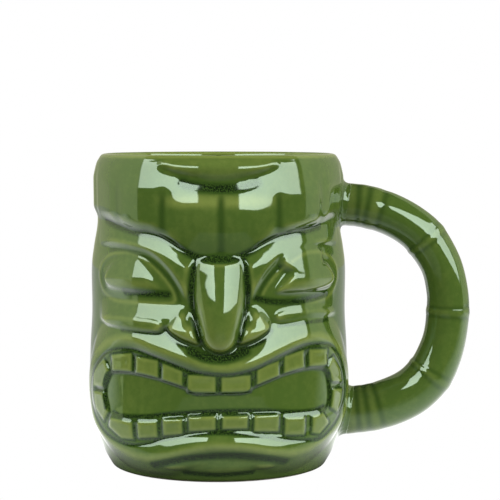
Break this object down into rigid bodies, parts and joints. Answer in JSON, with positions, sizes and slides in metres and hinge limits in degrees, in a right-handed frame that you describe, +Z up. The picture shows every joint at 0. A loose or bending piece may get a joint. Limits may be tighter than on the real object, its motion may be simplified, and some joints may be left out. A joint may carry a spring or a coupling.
{
  "type": "tiki mug",
  "caption": "Glazed ceramic mug with a carved idol face in relief on its front and a bamboo-style loop handle on its side.",
  "frame": {"origin": "centre of the flat base of the cup, on the surface that the mug stands on", "axes": "+Z up, +X from the cup's axis towards the handle, -Y out of the front of the face"},
  "size_m": [0.1475, 0.1058, 0.12],
  "materials": {
    "celadon_glaze": "polished",
    "pooled_glaze": "polished"
  },
  "bodies": {
    "root": {"mug_body": "celadon_glaze", "handle": "celadon_glaze", "upper_handle_lute": "pooled_glaze", "lower_handle_lute": "pooled_glaze"}
  },
  "joints": []
}
